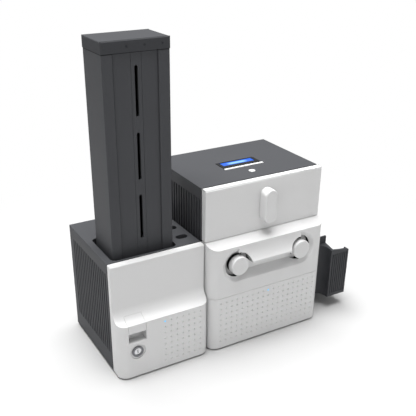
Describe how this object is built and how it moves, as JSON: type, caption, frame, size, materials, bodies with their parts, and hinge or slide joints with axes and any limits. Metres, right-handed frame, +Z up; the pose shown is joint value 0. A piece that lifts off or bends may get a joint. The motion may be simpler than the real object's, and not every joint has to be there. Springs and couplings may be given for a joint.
{
  "type": "id card printer",
  "caption": "Desktop printer for plastic cards: feeder unit with a tall card magazine and locked door, printing unit with ribbon drawer, display and keys, and a side hopper.",
  "frame": {"origin": "middle of the whole object in plan, on the surface that its rubber feet stand on", "axes": "+Z up, +X to the right from the feeder unit to the card hopper, +Y from the silver fronts to the rear panel"},
  "size_m": [0.4614, 0.202, 0.5108],
  "materials": {
    "silver_plastic": "fine satin, silver-white",
    "dark_paint": "fine textured powder coat",
    "magazine_paint": "dark grey satin, extruded",
    "hopper_plastic": "moulded, satin",
    "black_plastic": "moulded, satin",
    "zinc_steel": "bent sheet, zinc plated",
    "chrome": "polished",
    "steel": "turned",
    "roller_rubber": "ground",
    "foot_rubber": "moulded",
    "card_white": "gloss card",
    "core_plastic": "moulded",
    "ribbon_film": "dye film, thin",
    "head_aluminium": "ribbed, clear anodised",
    "lamp": "lit light guide",
    "display": "lit display",
    "board": "circuit board",
    "supply_case": "folded, plain",
    "motor_case": "black motor",
    "weight_paint": "satin paint"
  },
  "bodies": {
    "chassis": {"feeder_base": "zinc_steel", "feeder_casing": "dark_paint", "feeder_lid": "dark_paint", "feed_deck": "zinc_steel", "rubber_feet": "foot_rubber", "hinge_pins": "steel", "pick_motor": "motor_case", "printer_base": "zinc_steel", "printer_casing": "dark_paint", "rear_panel": "zinc_steel", "front_bulkhead": "zinc_steel", "rear_bulkhead": "zinc_steel", "lower_cover": "silver_plastic", "cover_led": "lamp", "drawer_runners": "zinc_steel", "display_bezel": "black_plastic", "display_panel": "display", "drive_belt": "roller_rubber", "drive_motor": "motor_case", "main_board": "board", "power_supply": "supply_case", "power_inlet": "black_plastic"},
    "feeder_door": {"feeder_door": "silver_plastic", "lock_barrel": "chrome", "feeder_led": "lamp"},
    "latch": {"latch_flap": "silver_plastic"},
    "lock": {"lock_plug": "chrome"},
    "pick_roller": {"pick_roller": "roller_rubber"},
    "pick_pinion": {"pick_pinion": "steel"},
    "magazine": {"magazine_body": "magazine_paint", "magazine_front": "magazine_paint", "cap_hinge_pin": "steel", "card_stack": "card_white"},
    "cap": {"magazine_cap": "dark_paint", "cap_screws": "steel"},
    "card_weight": {"card_weight": "weight_paint"},
    "upper_door": {"upper_door": "silver_plastic"},
    "handle": {"turn_handle": "silver_plastic"},
    "drawer": {"drawer_front": "silver_plastic", "drawer_frame": "black_plastic", "ribbon_web": "ribbon_film"},
    "supply_spool": {"left_knob": "silver_plastic", "supply_core": "core_plastic", "supply_film": "ribbon_film"},
    "takeup_spool": {"right_knob": "silver_plastic", "takeup_core": "core_plastic"},
    "key_1": {"key_1": "silver_plastic"},
    "key_2": {"key_2": "silver_plastic"},
    "key_3": {"key_3": "silver_plastic"},
    "key_4": {"key_4": "silver_plastic"},
    "round_button": {"round_button": "silver_plastic"},
    "print_head": {"print_head": "head_aluminium"},
    "platen": {"platen_roller": "roller_rubber"},
    "entry_roller": {"entry_roller": "roller_rubber"},
    "exit_roller": {"exit_roller": "roller_rubber"},
    "entry_pinch": {"entry_pinch": "roller_rubber"},
    "exit_pinch": {"exit_pinch": "roller_rubber"},
    "motor_pulley": {"motor_pulley": "steel"},
    "power_switch": {"power_switch": "black_plastic"},
    "hopper": {"output_hopper": "hopper_plastic"}
  },
  "joints": [
    {"name": "feeder_door_hinge", "type": "hinge", "parent": "chassis", "child": "feeder_door", "pos_m": [-0.15075, -0.0865, 0.0095], "axis": [1, 0, 0], "range_deg": [0, 88]},
    {"name": "latch_hinge", "type": "hinge", "parent": "feeder_door", "child": "latch", "pos_m": [-0.19925, -0.077, 0.10138], "axis": [1, 0, 0], "range_deg": [0, 8], "stiffness_Nm_per_rad": 0.02},
    {"name": "lock_turn", "type": "hinge", "parent": "feeder_door", "child": "lock", "pos_m": [-0.19975, -0.091, 0.048], "axis": [0, 1, 0], "range_deg": [0, 90]},
    {"name": "pick_spin", "type": "hinge", "parent": "chassis", "child": "pick_roller", "pos_m": [-0.16355, -0.0135, 0.1181], "axis": [0, 1, 0], "continuous": true},
    {"name": "pick_pinion_spin", "type": "hinge", "parent": "chassis", "child": "pick_pinion", "pos_m": [-0.16355, 0.023, 0.1037], "axis": [0, 1, 0], "continuous": true},
    {"name": "magazine_lift", "type": "slide", "parent": "chassis", "child": "magazine", "axis": [0, 0, 1], "range_m": [0, 0.08]},
    {"name": "cap_hinge", "type": "hinge", "parent": "magazine", "child": "cap", "pos_m": [-0.16355, 0.0229, 0.4942], "axis": [-1, 0, 0], "range_deg": [0, 110]},
    {"name": "card_weight_slide", "type": "slide", "parent": "magazine", "child": "card_weight", "axis": [0, 0, 1], "range_m": [0, 0.28]},
    {"name": "upper_door_hinge", "type": "hinge", "parent": "chassis", "child": "upper_door", "pos_m": [0.04325, -0.064, 0.2783], "axis": [-1, 0, 0], "range_deg": [0, 90]},
    {"name": "handle_turn", "type": "hinge", "parent": "upper_door", "child": "handle", "pos_m": [0.04325, -0.071, 0.24], "axis": [0, 1, 0], "range_deg": [0, 90]},
    {"name": "drawer_slide", "type": "slide", "parent": "chassis", "child": "drawer", "axis": [0, -1, 0], "range_m": [0, 0.12]},
    {"name": "supply_spin", "type": "hinge", "parent": "drawer", "child": "supply_spool", "pos_m": [-0.01775, -0.033, 0.153], "axis": [0, 1, 0], "continuous": true},
    {"name": "takeup_spin", "type": "hinge", "parent": "drawer", "child": "takeup_spool", "pos_m": [0.10425, -0.033, 0.153], "axis": [0, 1, 0], "continuous": true},
    {"name": "key_1_press", "type": "slide", "parent": "chassis", "child": "key_1", "axis": [0, 0, -1], "range_m": [0, 0.001], "stiffness_N_per_m": 300},
    {"name": "key_2_press", "type": "slide", "parent": "chassis", "child": "key_2", "axis": [0, 0, -1], "range_m": [0, 0.001], "stiffness_N_per_m": 300},
    {"name": "key_3_press", "type": "slide", "parent": "chassis", "child": "key_3", "axis": [0, 0, -1], "range_m": [0, 0.001], "stiffness_N_per_m": 300},
    {"name": "key_4_press", "type": "slide", "parent": "chassis", "child": "key_4", "axis": [0, 0, -1], "range_m": [0, 0.001], "stiffness_N_per_m": 300},
    {"name": "round_button_press", "type": "slide", "parent": "chassis", "child": "round_button", "axis": [0, 0, -1], "range_m": [0, 0.001], "stiffness_N_per_m": 300},
    {"name": "print_head_lift", "type": "slide", "parent": "chassis", "child": "print_head", "axis": [0, 0, 1], "range_m": [0, 0.006]},
    {"name": "platen_spin", "type": "hinge", "parent": "chassis", "child": "platen", "pos_m": [0.04325, -0.0135, 0.119], "axis": [0, 1, 0], "continuous": true},
    {"name": "entry_roller_spin", "type": "hinge", "parent": "chassis", "child": "entry_roller", "pos_m": [-0.05575, -0.0135, 0.119], "axis": [0, 1, 0], "continuous": true},
    {"name": "exit_roller_spin", "type": "hinge", "parent": "chassis", "child": "exit_roller", "pos_m": [0.14225, -0.0135, 0.119], "axis": [0, 1, 0], "continuous": true},
    {"name": "entry_pinch_spin", "type": "hinge", "parent": "chassis", "child": "entry_pinch", "pos_m": [-0.05575, -0.0135, 0.13006], "axis": [0, 1, 0], "continuous": true},
    {"name": "exit_pinch_spin", "type": "hinge", "parent": "chassis", "child": "exit_pinch", "pos_m": [0.14225, -0.0135, 0.13006], "axis": [0, 1, 0], "continuous": true},
    {"name": "motor_spin", "type": "hinge", "parent": "chassis", "child": "motor_pulley", "pos_m": [-0.01075, 0.042, 0.119], "axis": [0, 1, 0], "continuous": true},
    {"name": "power_switch_rock", "type": "hinge", "parent": "chassis", "child": "power_switch", "pos_m": [-0.02825, 0.096, 0.0615], "axis": [1, 0, 0], "range_deg": [-12, 12]},
    {"name": "hopper_lift", "type": "slide", "parent": "chassis", "child": "hopper", "axis": [0, 0, 1], "range_m": [0, 0.004]}
  ],
  "couplings": [
    {"joint": "pick_pinion_spin", "follows": "pick_spin", "ratio": -2},
    {"joint": "takeup_spin", "follows": "supply_spin", "ratio": 2.3333},
    {"joint": "entry_roller_spin", "follows": "platen_spin", "ratio": 1},
    {"joint": "exit_roller_spin", "follows": "platen_spin", "ratio": 1},
    {"joint": "motor_spin", "follows": "platen_spin", "ratio": 1},
    {"joint": "entry_pinch_spin", "follows": "platen_spin", "ratio": -1.5},
    {"joint": "exit_pinch_spin", "follows": "platen_spin", "ratio": -1.5}
  ]
}
